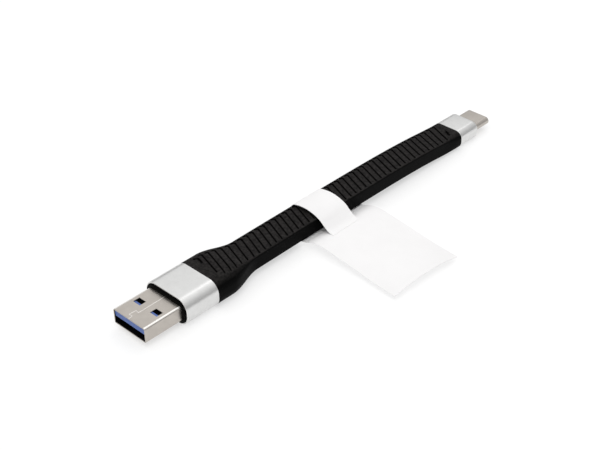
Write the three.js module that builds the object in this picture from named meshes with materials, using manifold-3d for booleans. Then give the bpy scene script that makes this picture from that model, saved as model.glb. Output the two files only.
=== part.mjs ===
// Short flat charging cable: a USB-A 3.x plug and a USB-C plug joined by a flat ribbed strap,
// with a paper flag label round the middle of the strap.
// Millimetres, +Z up. +X runs from the USB-A plug to the USB-C plug, and -Y is the label's side.
// The origin is the middle of the USB-A sleeve's flat underside, which lies on the table at Z = 0.
import * as THREE from 'three';
import { mergeVertices } from 'three/addons/utils/BufferGeometryUtils.js';
import Module from 'manifold-3d';

const wasm = await Module();
wasm.setup();

// ---- driving dimensions ----

const FIT_GAP = 0.1; // clearance between pieces that nest in one another
const CORNER_STEPS = 6; // facets in a quarter-round corner of a plug
const STRAP_CORNER_STEPS = 2; // the same on the strap, which makes a twelve-sided section

// USB-A plug: standard 12.0 x 4.5 shell, 18.75 long, with 12 of it clear of the sleeve
const A_SLEEVE = { length: 10.7, width: 15.4, height: 7.9, radius: 3.3, wall: 0.4 };
const A_SHELL = { length: 18.75, clear: 12, width: 12, height: 4.5, radius: 0.65, wall: 0.3 };
const A_WINDOW = { fromFront: 5.16, length: 2, width: 2.5, centreY: 3.2 };
const A_TONGUE = { recess: 0.3, thickness: 1.84, rearThickness: 0.99, rearWidth: 10.3 };
const A_CARRIER = { blockLength: 6.6, behindWindow: 0.85, notchFloor: 0.15 };
const A_BLADE = { width: 1, thickness: 0.25, length: 16.6, setBack: 1.2 };
const A_SPRING = { width: 0.55, length: 12.8, drop: 0.7 };
const A_BOARD = { length: 6.4, width: 10, thickness: 0.8 };
const A_MOULD = { proud: 0.4, radius: 2.85, tailWidth: 11, tailHeight: 4.4, tailRadius: 1.2, tail: 3.8 };

// USB-C plug: standard 8.25 x 2.4 shell, with 6.65 of it clear of the sleeve
const C_SLEEVE = { length: 8.2, width: 10.4, height: 5.6, radius: 2.3, wall: 0.6, frontWall: 0.7 };
const C_SLEEVE_EDGE = 0.9; // rounding of the sleeve's front edge
const C_SHELL = { length: 10.1, clear: 6.65, width: 8.25, height: 2.4, wall: 0.25 };
const C_LINER = { length: 4.2, recess: 0.12, height: 1.6, slotWidth: 6.7, slotHeight: 1.2 };
const C_HOLDER = { length: 4.4, height: 1.8 };
const C_CONTACT = { pitch: 0.5, width: 0.25, thickness: 0.13, length: 10.7, z: 0.485, setBack: 0.8 };
const C_PLATE = { thickness: 0.15, width: 6.4, length: 4.6, armLength: 3.6, armWidth: 0.35 };
const C_SPRING = { width: 5.6, length: 3.2, thickness: 0.07 };
const C_BOARD = { length: 6, width: 8, thickness: 0.5 };
const C_MOULD = { radius: 1.6, frontGap: 0.1 };
const CHIP = { length: 1, width: 0.5, height: 0.35 }; // a 0402 resistor or capacitor

// strap: a soft moulding over a flat flexible circuit
const STRAP = { width: 9.75, height: 4.3, radius: 0.9 };
const STRAP_STATIONS = 44; // sections along the strap, about one every half width
const A_FLARE = { flush: 5.2, length: 11 }; // flush with the sleeve, then tapering to the strap
const C_FLARE = { flush: 0.6, length: 11 };
const FLEX = { width: 8, thickness: 0.3, tunnelWidth: 8.4, tunnelHeight: 0.8 };
const POCKET_GAP = 0.3; // room round the boards and moulds where they reach into the strap

// paper flag label: a wide panel under the strap, and a narrow band back over the top of it
const LABEL = { panelX: 50.4, panelWidth: 24, bandX: 49.4, bandWidth: 10.4, thickness: 0.24 };

// ---- positions worked out from the dimensions ----

const A_Z = A_SLEEVE.height / 2; // axis height of the USB-A plug
const C_Z = C_SLEEVE.height / 2; // axis height of the USB-C plug
const A_SLEEVE_FRONT = -A_SLEEVE.length / 2;
const A_SLEEVE_REAR = A_SLEEVE.length / 2;
const A_SHELL_FRONT = A_SLEEVE_FRONT - A_SHELL.clear;
const A_SHELL_REAR = A_SHELL_FRONT + A_SHELL.length;
const A_TONGUE_FLOOR = A_SHELL.height / 2 - A_SHELL.wall - FIT_GAP / 2 - A_TONGUE.thickness;
const A_BLOCK_FRONT = A_SHELL_REAR - FIT_GAP - A_CARRIER.blockLength;
const A_WINDOW_FRONT = A_SHELL_FRONT + A_WINDOW.fromFront;
const A_CARRIER_FRONT = A_WINDOW_FRONT + A_CARRIER.behindWindow;
const A_INSULATOR = { // outline of the insulators inside the shell
  width: A_SHELL.width - 2 * A_SHELL.wall - FIT_GAP,
  height: A_SHELL.height - 2 * A_SHELL.wall - FIT_GAP,
  radius: A_SHELL.radius - A_SHELL.wall - FIT_GAP / 2,
};
const A_BLADE_FRONT = A_SHELL_FRONT + A_BLADE.setBack;
const A_BOARD_FRONT = A_SHELL_REAR + FIT_GAP;
const A_SPRING_TIP = A_SHELL_REAR + 2 - A_SPRING.length; // the tails lie 2 mm along the board

// the strap's centre line from sleeve to sleeve, as X and Z: a low arch that drops to the USB-C plug
const ROUTE = [
  [5.35, 3.95], [12, 3.95], [19, 4], [26, 4.07], [33, 4.13], [40, 4.17], [47, 4.2], [54, 4.23], [61, 4.25],
  [68, 4.24], [75, 4.18], [82, 4.05], [88, 3.84], [93.5, 3.54], [98.5, 3.18], [102.5, 2.92], [105, 2.82],
  [106.7, 2.8],
];
const STRAP_START = ROUTE[0][0];
const STRAP_END = ROUTE[ROUTE.length - 1][0];

const C_SLEEVE_REAR = STRAP_END;
const C_SLEEVE_FRONT = C_SLEEVE_REAR + C_SLEEVE.length;
const C_SHELL_FRONT = C_SLEEVE_FRONT + C_SHELL.clear;
const C_SHELL_REAR = C_SHELL_FRONT - C_SHELL.length;
const C_HOLDER_REAR = C_SHELL_REAR + FIT_GAP;
const C_BOARD_FRONT = C_SHELL_REAR - FIT_GAP;
const C_BOARD_REAR = C_BOARD_FRONT - C_BOARD.length;

// ---- materials ----

const finish = (color, roughness, metalness) => () =>
  new THREE.MeshStandardMaterial({ color, roughness, metalness });

const satinAluminium = finish(0xd8d8d6, 0.32, 1);
const nickelSteel = finish(0xc8c0b6, 0.3, 1);
const goldPlate = finish(0xd9b154, 0.25, 1);
const bluePlastic = finish(0x3f62b4, 0.45, 0);
const blackPlastic = finish(0x1b1b1c, 0.5, 0);
const softBlack = finish(0x2a2928, 0.65, 0);
const boardGreen = finish(0x1e5a3a, 0.45, 0);
const flexAmber = finish(0xb2702a, 0.4, 0);
const ceramicBrown = finish(0x7a5a40, 0.5, 0);
const whitePaper = finish(0xf6f6f4, 0.75, 0);

// ---- shape helpers ----

// A rectangle with rounded corners in the YZ plane, as a ring of points.
function roundedOutline(width, height, radius, cornerSteps = CORNER_STEPS) {
  const points = [];
  const corners = [[1, 1, 0], [-1, 1, 1], [-1, -1, 2], [1, -1, 3]];
  for (const [side, top, quarter] of corners) {
    for (let step = 0; step <= cornerSteps; step += 1) {
      const angle = (quarter + step / cornerSteps) * (Math.PI / 2);
      const y = side * (width / 2 - radius) + radius * Math.cos(angle);
      const z = top * (height / 2 - radius) + radius * Math.sin(angle);
      points.push(new THREE.Vector2(y, z));
    }
  }
  return points;
}

function squareOutline(width, height) {
  const [y, z] = [width / 2, height / 2];
  return [[y, z], [-y, z], [-y, -z], [y, -z]].map(([py, pz]) => new THREE.Vector2(py, pz));
}

// A solid through a row of stations. Each has a centre x and z, an outline with the same number of
// points as the others, and an optional slope of the centre line.
function loft(stations) {
  const sides = stations[0].outline.length;
  const ring = [];
  for (let k = 0; k < sides; k += 1) {
    const angle = (k / sides) * 2 * Math.PI;
    ring.push(new THREE.Vector2(Math.cos(angle), Math.sin(angle)));
  }
  const steps = stations.length - 1;
  const options = { depth: 1, steps, bevelEnabled: false };
  const geometry = new THREE.ExtrudeGeometry(new THREE.Shape(ring), options);
  const place = geometry.attributes.position;
  for (let i = 0; i < place.count; i += 1) {
    const turn = Math.atan2(place.getY(i), place.getX(i)) / (2 * Math.PI);
    const k = (Math.round(turn * sides) + sides) % sides;
    const { x, z, outline, slope = 0 } = stations[Math.round(place.getZ(i) * steps)];
    const rise = outline[k].y;
    place.setXYZ(i, x - rise * Math.sin(slope), outline[k].x, z + rise * Math.cos(slope));
  }
  return geometry;
}

// A straight prism along X with a rounded rectangular section.
function bar(x0, x1, z, width, height, radius) {
  const outline = roundedOutline(width, height, radius);
  return loft([{ x: x0, z, outline }, { x: x1, z, outline }]);
}

// The bar that bores out a tube of the given outer size and wall.
function boreBar(x0, x1, z, { width, height, radius, wall }) {
  return bar(x0, x1, z, width - 2 * wall, height - 2 * wall, radius - wall);
}

function box(x0, x1, y0, y1, z0, z1) {
  const geometry = new THREE.BoxGeometry(x1 - x0, y1 - y0, z1 - z0);
  return geometry.translate((x0 + x1) / 2, (y0 + y1) / 2, (z0 + z1) / 2);
}

// A flat plate cut to an XZ outline, centred on y.
function plateAcross(points, y, width) {
  const shape = new THREE.Shape(points.map(([x, z]) => new THREE.Vector2(x, z)));
  const geometry = new THREE.ExtrudeGeometry(shape, { depth: width, bevelEnabled: false });
  return geometry.rotateX(Math.PI / 2).translate(0, y + width / 2, 0);
}

// A sheet of even thickness along X that follows a curve in the YZ plane.
function sheetAlong(curvePoints, steps, x0, x1, thickness) {
  const curve = new THREE.CatmullRomCurve3(curvePoints.map(([y, z]) => new THREE.Vector3(y, z, 0)));
  const upper = [];
  const lower = [];
  for (let i = 0; i <= steps; i += 1) {
    const point = curve.getPoint(i / steps);
    const tangent = curve.getTangent(i / steps);
    const normal = new THREE.Vector2(-tangent.y, tangent.x).multiplyScalar(thickness / 2);
    upper.push(new THREE.Vector2(point.x + normal.x, point.y + normal.y));
    lower.push(new THREE.Vector2(point.x - normal.x, point.y - normal.y));
  }
  const shape = new THREE.Shape([...upper, ...lower.reverse()]);
  const geometry = new THREE.ExtrudeGeometry(shape, { depth: x1 - x0, bevelEnabled: false });
  // shape X, Y and depth become Y, Z and X
  return geometry.rotateX(Math.PI / 2).rotateZ(Math.PI / 2).translate(x0, 0, 0);
}

function solid(geometry) {
  const bare = geometry.clone();
  bare.deleteAttribute('normal');
  bare.deleteAttribute('uv');
  const merged = mergeVertices(bare, 1e-4);
  const vertProperties = new Float32Array(merged.attributes.position.array);
  const triVerts = new Uint32Array(merged.index.array);
  return new wasm.Manifold(new wasm.Mesh({ numProp: 3, vertProperties, triVerts }));
}

function geometryOf(manifold) {
  const { vertProperties, triVerts } = manifold.getMesh();
  const geometry = new THREE.BufferGeometry();
  geometry.setAttribute('position', new THREE.BufferAttribute(new Float32Array(vertProperties), 3));
  geometry.setIndex(new THREE.BufferAttribute(new Uint32Array(triVerts), 1));
  geometry.computeVertexNormals();
  return geometry;
}

function cut(geometry, cutters) {
  let body = solid(geometry);
  for (const cutter of cutters) body = body.subtract(solid(cutter));
  return geometryOf(body);
}

function join(geometry, additions) {
  let body = solid(geometry);
  for (const addition of additions) body = body.add(solid(addition));
  return geometryOf(body);
}

function part(name, geometry, material) {
  const mesh = new THREE.Mesh(geometry, material());
  mesh.name = name;
  return mesh;
}

// ---- USB-A plug ----

const A_BLADES = [['vbus', 3.5], ['d_minus', 1], ['d_plus', -1], ['gnd', -3.5]];
const A_SPRINGS = [
  ['rx_minus', 4.6], ['rx_plus', 2.25], ['drain', 0], ['tx_minus', -2.25], ['tx_plus', -4.6],
];

// Bright tube of satin aluminium round the back of the plug.
function usbASleeve() {
  const { width, height, radius } = A_SLEEVE;
  const outer = bar(A_SLEEVE_FRONT, A_SLEEVE_REAR, A_Z, width, height, radius);
  const bore = boreBar(A_SLEEVE_FRONT - 1, A_SLEEVE_REAR + 1, A_Z, A_SLEEVE);
  return part('usb_a_sleeve', cut(outer, [bore]), satinAluminium);
}

// Folded steel shell, open at both ends, with two windows in its top and two in its bottom.
function usbAShell() {
  const { width, height, radius } = A_SHELL;
  const outer = bar(A_SHELL_FRONT, A_SHELL_REAR, A_Z, width, height, radius);
  const bore = boreBar(A_SHELL_FRONT - 1, A_SHELL_REAR + 1, A_Z, A_SHELL);
  const x = A_WINDOW_FRONT;
  const windows = [];
  for (const side of [-1, 1]) {
    const y = side * A_WINDOW.centreY;
    const half = A_WINDOW.width / 2;
    windows.push(box(x, x + A_WINDOW.length, y - half, y + half, A_Z - height, A_Z + height));
  }
  return part('usb_a_shell', cut(outer, [bore, ...windows]), nickelSteel);
}

// Blue tongue along the top of the mouth. Behind the windows it is a thinner plate in the carrier.
function usbATongue() {
  const { width, height, radius } = A_INSULATOR;
  const front = A_SHELL_FRONT + A_TONGUE.recess;
  const rear = A_SHELL_REAR - FIT_GAP;
  const plateTop = A_Z + A_TONGUE_FLOOR + A_TONGUE.rearThickness;
  const thinFrom = A_CARRIER_FRONT - FIT_GAP / 2;
  const cutters = [
    box(front - 1, rear + 1, -width, width, A_Z - height, A_Z + A_TONGUE_FLOOR),
    box(thinFrom, rear + 1, -width, width, plateTop, A_Z + height),
  ];
  for (const side of [-1, 1]) {
    const edges = [side * A_TONGUE.rearWidth / 2, side * width];
    cutters.push(box(thinFrom, rear + 1, Math.min(...edges), Math.max(...edges), A_Z, A_Z + height));
  }
  const slotFrom = (x, slotWidth) => ([, y]) => cutters.push(contactSlot(y, slotWidth, x, rear + 1));
  A_BLADES.forEach(slotFrom(A_BLADE_FRONT - FIT_GAP, A_BLADE.width));
  A_SPRINGS.forEach(slotFrom(A_SPRING_TIP - 0.3, A_SPRING.width));
  return part('usb_a_tongue', cut(bar(front, rear, A_Z, width, height, radius), cutters), bluePlastic);
}

// Black carrier: a block behind the mouth, and a layer over the tongue that reaches the windows.
// It has a notch under each window, where the socket's spring drops in.
function usbACarrier() {
  const { width, height, radius } = A_INSULATOR;
  const rear = A_SHELL_REAR - FIT_GAP;
  const floor = A_Z + A_TONGUE_FLOOR;
  const layerFloor = floor + A_TONGUE.rearThickness + FIT_GAP / 2;
  const slotHalf = (A_TONGUE.rearWidth + FIT_GAP) / 2;
  const cutters = [
    box(A_CARRIER_FRONT - 1, A_BLOCK_FRONT, -width, width, A_Z - height, layerFloor),
    box(A_CARRIER_FRONT - 1, rear + 1, -slotHalf, slotHalf, floor - FIT_GAP, layerFloor),
  ];
  for (const side of [-1, 1]) {
    const [y, half] = [side * A_WINDOW.centreY, (A_WINDOW.width + FIT_GAP) / 2];
    const notchRear = A_WINDOW_FRONT + A_WINDOW.length + 2 * FIT_GAP;
    const notchFloor = layerFloor + A_CARRIER.notchFloor;
    cutters.push(box(A_CARRIER_FRONT - 1, notchRear, y - half, y + half, notchFloor, A_Z + height));
  }
  const block = bar(A_CARRIER_FRONT, rear, A_Z, width, height, radius);
  return part('usb_a_carrier', cut(block, cutters), blackPlastic);
}

// Groove that holds one contact against the tongue, and carries its tail back through the block.
function contactSlot(y, width, x0, x1) {
  const half = width / 2 + FIT_GAP / 2;
  const floor = A_Z + A_TONGUE_FLOOR;
  return box(x0, x1, y - half, y + half, floor - FIT_GAP, floor + A_BLADE.thickness + FIT_GAP);
}

// Four flat gold-plated blades for power and the ordinary data pair.
function usbABlades() {
  const x0 = A_BLADE_FRONT;
  const z0 = A_Z + A_TONGUE_FLOOR + FIT_GAP / 2;
  return A_BLADES.map(([signal, y]) => {
    const half = A_BLADE.width / 2;
    const blade = box(x0, x0 + A_BLADE.length + 3, y - half, y + half, z0, z0 + A_BLADE.thickness);
    return part(`usb_a_contact_${signal}`, blade, goldPlate);
  });
}

// Five sprung contacts for the fast data pairs, each with a knuckle that drops into the mouth.
function usbASprings() {
  const x0 = A_SPRING_TIP;
  const top = A_Z + A_TONGUE_FLOOR + FIT_GAP / 2 + A_BLADE.thickness;
  const low = top - A_BLADE.thickness;
  const points = [
    [x0, top], [x0, low], [x0 + 0.7, low - A_SPRING.drop], [x0 + 1.1, low - A_SPRING.drop],
    [x0 + 2.9, low], [x0 + A_SPRING.length, low], [x0 + A_SPRING.length, top], [x0 + 2.8, top],
    [x0 + 0.95, low - A_SPRING.drop + 0.3],
  ];
  return A_SPRINGS.map(([signal, y]) =>
    part(`usb_a_contact_${signal}`, plateAcross(points, y, A_SPRING.width), goldPlate));
}

// Small circuit board that the contact tails and the flexible circuit are soldered to.
function usbABoard() {
  const top = A_Z + A_TONGUE_FLOOR - FIT_GAP / 2;
  const half = A_BOARD.width / 2;
  const x1 = A_BOARD_FRONT + A_BOARD.length;
  const board = box(A_BOARD_FRONT, x1, -half, half, top - A_BOARD.thickness, top);
  return part('usb_a_board', board, boardGreen);
}

// Black inner mould: its lip fills the sleeve's mouth, and its tail wraps the board inside the strap.
function usbAMould() {
  const width = A_SLEEVE.width - 2 * A_SLEEVE.wall - FIT_GAP;
  const height = A_SLEEVE.height - 2 * A_SLEEVE.wall - FIT_GAP;
  const front = A_SLEEVE_FRONT - A_MOULD.proud;
  const tailEnd = A_SLEEVE_REAR + A_MOULD.tail;
  const plug = bar(front, A_SLEEVE_REAR - FIT_GAP, A_Z, width, height, A_MOULD.radius);
  const tail = bar(0, tailEnd, A_Z, A_MOULD.tailWidth, A_MOULD.tailHeight, A_MOULD.tailRadius);
  const shellRoom = bar(
    front - 1, A_SHELL_REAR + FIT_GAP / 2, A_Z,
    A_SHELL.width + FIT_GAP, A_SHELL.height + FIT_GAP, A_SHELL.radius,
  );
  const half = A_BOARD.width / 2 + FIT_GAP;
  const boardRoom = box(0, tailEnd + 1, -half, half, A_Z - A_BOARD.thickness - 0.3, A_Z + 0.7);
  return part('usb_a_inner_mould', cut(join(plug, [tail]), [shellRoom, boardRoom]), blackPlastic);
}

// ---- USB-C plug ----

const C_TOP = [
  ['a1_gnd', 0], ['a2_tx_plus', 1], ['a3_tx_minus', 2], ['a4_vbus', 3], ['a5_cc', 4], ['a6_d_plus', 5],
  ['a7_d_minus', 6], ['a9_vbus', 8], ['a12_gnd', 11],
];
const C_BOTTOM = [
  ['b12_gnd', 0], ['b11_rx_plus', 1], ['b10_rx_minus', 2], ['b9_vbus', 3], ['b4_vbus', 8], ['b1_gnd', 11],
];
const contactY = (place) => (5.5 - place) * C_CONTACT.pitch;

// Satin aluminium cup with a rounded front edge and an oblong hole for the shell.
function usbCSleeve() {
  const { width, height, radius, frontWall } = C_SLEEVE;
  const stations = [{ x: C_SLEEVE_REAR, z: C_Z, outline: roundedOutline(width, height, radius) }];
  const edgeSteps = 4;
  for (let step = 0; step <= edgeSteps; step += 1) {
    const angle = (step / edgeSteps) * (Math.PI / 2);
    const inset = C_SLEEVE_EDGE * (1 - Math.cos(angle));
    const outline = roundedOutline(width - 2 * inset, height - 2 * inset, radius - inset);
    stations.push({ x: C_SLEEVE_FRONT - C_SLEEVE_EDGE * (1 - Math.sin(angle)), z: C_Z, outline });
  }
  const bore = boreBar(C_SLEEVE_REAR - 1, C_SLEEVE_FRONT - frontWall, C_Z, C_SLEEVE);
  const hole = obround(C_SLEEVE_REAR, C_SLEEVE_FRONT + 1, C_SHELL.width + FIT_GAP, C_SHELL.height + FIT_GAP);
  return part('usb_c_sleeve', cut(loft(stations), [bore, hole]), satinAluminium);
}

function obround(x0, x1, width, height) {
  return bar(x0, x1, C_Z, width, height, height / 2 - 0.02);
}

// Seamless oblong steel shell.
function usbCShell() {
  const { width, height, wall } = C_SHELL;
  const outer = obround(C_SHELL_REAR, C_SHELL_FRONT, width, height);
  const bore = obround(C_SHELL_REAR - 1, C_SHELL_FRONT + 1, width - 2 * wall, height - 2 * wall);
  return part('usb_c_shell', cut(outer, [bore]), nickelSteel);
}

// Black liner just inside the mouth, which the socket's tongue slides through.
function usbCLiner() {
  const x1 = C_SHELL_FRONT - C_LINER.recess;
  const x0 = x1 - C_LINER.length;
  const outer = obround(x0, x1, C_SHELL.width - 2 * C_SHELL.wall - FIT_GAP, C_LINER.height);
  const slot = obround(x0 - 1, x1 + 1, C_LINER.slotWidth, C_LINER.slotHeight);
  return part('usb_c_liner', cut(outer, [slot]), blackPlastic);
}

// Rear insulator that holds both rows of contacts and the plate between them.
function usbCHolder() {
  const x1 = C_HOLDER_REAR + C_HOLDER.length;
  const outer = obround(C_HOLDER_REAR, x1, C_SHELL.width - 2 * C_SHELL.wall - FIT_GAP, C_HOLDER.height);
  const cutters = [];
  const half = C_CONTACT.width / 2 + 0.04;
  for (const [row, contacts] of [[1, C_TOP], [-1, C_BOTTOM]]) {
    const z = C_Z + row * C_CONTACT.z;
    for (const [, place] of contacts) {
      const y = contactY(place);
      cutters.push(box(C_HOLDER_REAR - 1, x1 + 1, y - half, y + half, z - 0.12, z + 0.12));
    }
  }
  const plateHalf = C_PLATE.width / 2 + FIT_GAP;
  cutters.push(box(C_HOLDER_REAR - 1, x1 + 1, -plateHalf, plateHalf, C_Z - 0.14, C_Z + 0.14));
  return part('usb_c_contact_holder', cut(outer, cutters), blackPlastic);
}

// Fifteen contacts: the nine upper and six lower ones that a USB-A to USB-C cable carries.
function usbCContacts() {
  const x1 = C_SHELL_FRONT - C_CONTACT.setBack;
  const x0 = x1 - C_CONTACT.length;
  const t = C_CONTACT.thickness / 2;
  const row = (side, contacts) => contacts.map(([signal, place]) => {
    const z = C_Z + side * C_CONTACT.z;
    const inward = side * 0.22; // the knuckle stands into the mouth
    const points = [
      [x0, z - t], [x1 - 2.4, z - t], [x1 - 1, z - t - inward], [x1, z - t],
      [x1, z + t], [x1 - 1, z + t - inward], [x1 - 2.4, z + t], [x0, z + t],
    ];
    return part(`usb_c_contact_${signal}`, plateAcross(points, contactY(place), C_CONTACT.width), goldPlate);
  });
  return [...row(1, C_TOP), ...row(-1, C_BOTTOM)];
}

// Steel plate between the contact rows, with a latch arm along each side of the mouth.
function usbCPlate() {
  const x0 = C_HOLDER_REAR;
  const x1 = x0 + C_PLATE.length;
  const half = C_PLATE.width / 2;
  const z0 = C_Z - C_PLATE.thickness / 2;
  const z1 = C_Z + C_PLATE.thickness / 2;
  const plate = box(x0, x1, -half, half, z0, z1);
  const arms = [-1, 1].map((side) => {
    const outer = side * half;
    const inner = side * (half - C_PLATE.armWidth);
    return box(x1 - 0.5, x1 + C_PLATE.armLength, Math.min(outer, inner), Math.max(outer, inner), z0, z1);
  });
  return part('usb_c_latch_plate', join(plate, arms), nickelSteel);
}

// Thin shielding springs above and below the liner.
function usbCSprings() {
  const x1 = C_SHELL_FRONT - 0.5;
  const half = C_SPRING.width / 2;
  return [['top', 1], ['bottom', -1]].map(([name, side]) => {
    const inner = C_Z + side * (C_LINER.height / 2 + 0.03);
    const outer = inner + side * C_SPRING.thickness;
    const z0 = Math.min(inner, outer);
    const z1 = Math.max(inner, outer);
    const spring = box(x1 - C_SPRING.length, x1, -half, half, z0, z1);
    return part(`usb_c_ground_spring_${name}`, spring, nickelSteel);
  });
}

function usbCBoard() {
  const half = C_BOARD.width / 2;
  const z = C_BOARD.thickness / 2;
  const board = box(C_BOARD_REAR, C_BOARD_FRONT, -half, half, C_Z - z, C_Z + z);
  return part('usb_c_board', board, boardGreen);
}

// The pull-up resistor that marks the far end as a USB-A plug, and a smoothing capacitor.
function usbCChips() {
  const x0 = C_BOARD_REAR + 2.2;
  const z0 = C_Z + C_BOARD.thickness / 2 + 0.05;
  const half = CHIP.width / 2;
  const chips = [['pullup_resistor', 1.6, blackPlastic], ['capacitor', -1.6, ceramicBrown]];
  return chips.map(([name, y, material]) => {
    const chip = box(x0, x0 + CHIP.length, y - half, y + half, z0, z0 + CHIP.height);
    return part(`usb_c_${name}`, chip, material);
  });
}

// Black inner mould between the sleeve and the shell.
function usbCMould() {
  const width = C_SLEEVE.width - 2 * C_SLEEVE.wall - FIT_GAP;
  const height = C_SLEEVE.height - 2 * C_SLEEVE.wall - FIT_GAP;
  const x1 = C_SLEEVE_FRONT - C_SLEEVE.frontWall - C_MOULD.frontGap;
  const outer = bar(C_SLEEVE_REAR + FIT_GAP, x1, C_Z, width, height, C_MOULD.radius);
  const shellRoom = obround(C_SHELL_REAR - 0.05, x1 + 1, C_SHELL.width + FIT_GAP, C_SHELL.height + FIT_GAP);
  const half = C_BOARD.width / 2 + 0.08;
  const boardRoom = box(C_SLEEVE_REAR - 1, C_SHELL_REAR, -half, half, C_Z - 0.8, C_Z + 0.8);
  return part('usb_c_inner_mould', cut(outer, [shellRoom, boardRoom]), blackPlastic);
}

// ---- strap, flexible circuit and label ----

const routePoints = ROUTE.map(([x, z]) => new THREE.Vector3(x, 0, z));
const strapCurve = new THREE.CatmullRomCurve3(routePoints, false, 'centripetal');

// Even stations along a stretch of the strap's centre line, from u0 to u1 of its length.
function routeStations(count, u0, u1, outlineAt) {
  const stations = [];
  for (let i = 0; i <= count; i += 1) {
    const u = u0 + (u1 - u0) * (i / count);
    const point = strapCurve.getPointAt(u);
    const tangent = strapCurve.getTangentAt(u);
    const level = u === 0 || u === 1; // the end faces stand square to the sleeves
    const slope = level ? 0 : Math.atan2(tangent.z, tangent.x);
    stations.push({ x: point.x, z: point.z, slope, outline: outlineAt(point.x) });
  }
  return stations;
}

// How far the strap has changed into a sleeve's outline at x: 0 on the plain strap, 1 at the sleeve.
function flare(distance, { flush, length }) {
  return 1 - THREE.MathUtils.smoothstep(distance, flush, flush + length);
}

function strapOutline(x) {
  const a = flare(x - STRAP_START, A_FLARE);
  const c = flare(STRAP_END - x, C_FLARE);
  const mix = (key) => STRAP[key] + a * (A_SLEEVE[key] - STRAP[key]) + c * (C_SLEEVE[key] - STRAP[key]);
  return roundedOutline(mix('width'), mix('height'), mix('radius'), STRAP_CORNER_STEPS);
}

// Soft black moulding, with its strain relief flares and the tunnel for the flexible circuit.
function strap() {
  const body = loft(routeStations(STRAP_STATIONS, 0, 1, strapOutline));
  const tunnelOutline = () => squareOutline(FLEX.tunnelWidth, FLEX.tunnelHeight);
  const tunnel = loft(routeStations(STRAP_STATIONS, 0.01, 0.99, tunnelOutline));
  const aPocket = bar(
    STRAP_START - 1, A_SLEEVE_REAR + A_MOULD.tail + POCKET_GAP, A_Z,
    A_MOULD.tailWidth + POCKET_GAP, A_MOULD.tailHeight + POCKET_GAP, A_MOULD.tailRadius,
  );
  const cPocket = bar(C_BOARD_REAR - POCKET_GAP, STRAP_END + 1, C_Z, C_BOARD.width + POCKET_GAP, 1.4, 0.1);
  return part('strap', cut(body, [tunnel, aPocket, cPocket]), softBlack);
}

// Flat flexible circuit from board to board, through the middle of the strap.
function flexCircuit() {
  const length = STRAP_END - STRAP_START;
  const u0 = (A_BOARD_FRONT + A_BOARD.length + POCKET_GAP - STRAP_START) / length;
  const u1 = (C_BOARD_REAR - POCKET_GAP - STRAP_START) / length;
  const outline = () => squareOutline(FLEX.width, FLEX.thickness);
  return part('flex_circuit', loft(routeStations(STRAP_STATIONS, u0, u1, outline)), flexAmber);
}

// One sheet of paper: a panel that passes under the strap and out to the -Y side, and a narrow band
// from the panel's +Y edge back over the strap and down onto the panel.
function paperLabel() {
  const { panelX, panelWidth, bandX, bandWidth, thickness } = LABEL;
  const panelCurve = [
    [5.0, 1.9], [2, 1.68], [-3, 1.66], [-5.2, 1.88], [-7, 2.62], [-9, 3.3], [-11.5, 3.45], [-15, 3.15],
    [-22, 2.4], [-30, 1.3], [-38.2, 0.6],
  ];
  const bandCurve = [
    [4.8, 1.85], [5.15, 2.6], [5.25, 4], [5.2, 5.6], [4.75, 6.65], [3.2, 7.3], [0, 7.6], [-2.9, 7.25],
    [-5.4, 6.35], [-7, 5.1], [-8.6, 4], [-10.2, 3.55],
  ];
  const panel = sheetAlong(panelCurve, 24, panelX - panelWidth / 2, panelX + panelWidth / 2, thickness);
  const band = sheetAlong(bandCurve, 24, bandX - bandWidth / 2, bandX + bandWidth / 2, thickness);
  return part('paper_label', join(panel, [band]), whitePaper);
}

// ---- assembly ----

const usbAPlug = new THREE.Group();
usbAPlug.add(usbASleeve(), usbAShell(), usbATongue(), usbACarrier(), ...usbABlades(), ...usbASprings());
usbAPlug.add(usbABoard(), usbAMould());

const usbCPlug = new THREE.Group();
usbCPlug.add(usbCSleeve(), usbCShell(), usbCLiner(), usbCHolder(), ...usbCContacts());
usbCPlug.add(usbCPlate(), ...usbCSprings(), usbCBoard(), ...usbCChips(), usbCMould());

const cable = new THREE.Group();
cable.add(usbAPlug, strap(), flexCircuit(), paperLabel(), usbCPlug);

export default cable;
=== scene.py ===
import math

import bmesh
import bpy
import numpy as np
from mathutils import Matrix, Vector


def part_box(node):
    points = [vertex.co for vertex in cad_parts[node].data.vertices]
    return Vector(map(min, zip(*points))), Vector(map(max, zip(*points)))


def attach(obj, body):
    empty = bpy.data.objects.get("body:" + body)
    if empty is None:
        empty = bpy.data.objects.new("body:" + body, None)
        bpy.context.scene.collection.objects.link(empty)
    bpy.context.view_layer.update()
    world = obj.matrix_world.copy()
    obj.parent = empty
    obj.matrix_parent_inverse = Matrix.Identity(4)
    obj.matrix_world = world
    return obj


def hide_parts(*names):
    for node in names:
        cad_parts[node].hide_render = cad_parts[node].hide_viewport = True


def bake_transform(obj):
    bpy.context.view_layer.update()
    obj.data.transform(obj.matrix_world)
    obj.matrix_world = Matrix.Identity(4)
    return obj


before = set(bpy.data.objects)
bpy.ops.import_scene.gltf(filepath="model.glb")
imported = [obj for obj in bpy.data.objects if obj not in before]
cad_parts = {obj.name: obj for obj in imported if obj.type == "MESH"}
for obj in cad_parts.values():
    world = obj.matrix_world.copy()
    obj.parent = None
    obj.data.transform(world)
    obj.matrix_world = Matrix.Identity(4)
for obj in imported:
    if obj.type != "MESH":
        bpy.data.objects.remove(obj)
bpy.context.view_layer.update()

MM = 0.001  # pieces are worked out in millimetres and made in metres

# ---- camera ----

CAMERA_TARGET = (0.04127, -0.00105, 0.004)
CAMERA_AZIMUTH, CAMERA_ELEVATION, CAMERA_ROLL = -45.19, 35.12, -1.36  # degrees
CAMERA_DISTANCE = 0.33155
CAMERA_LENS = 73.58  # for a 36 mm sensor


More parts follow.
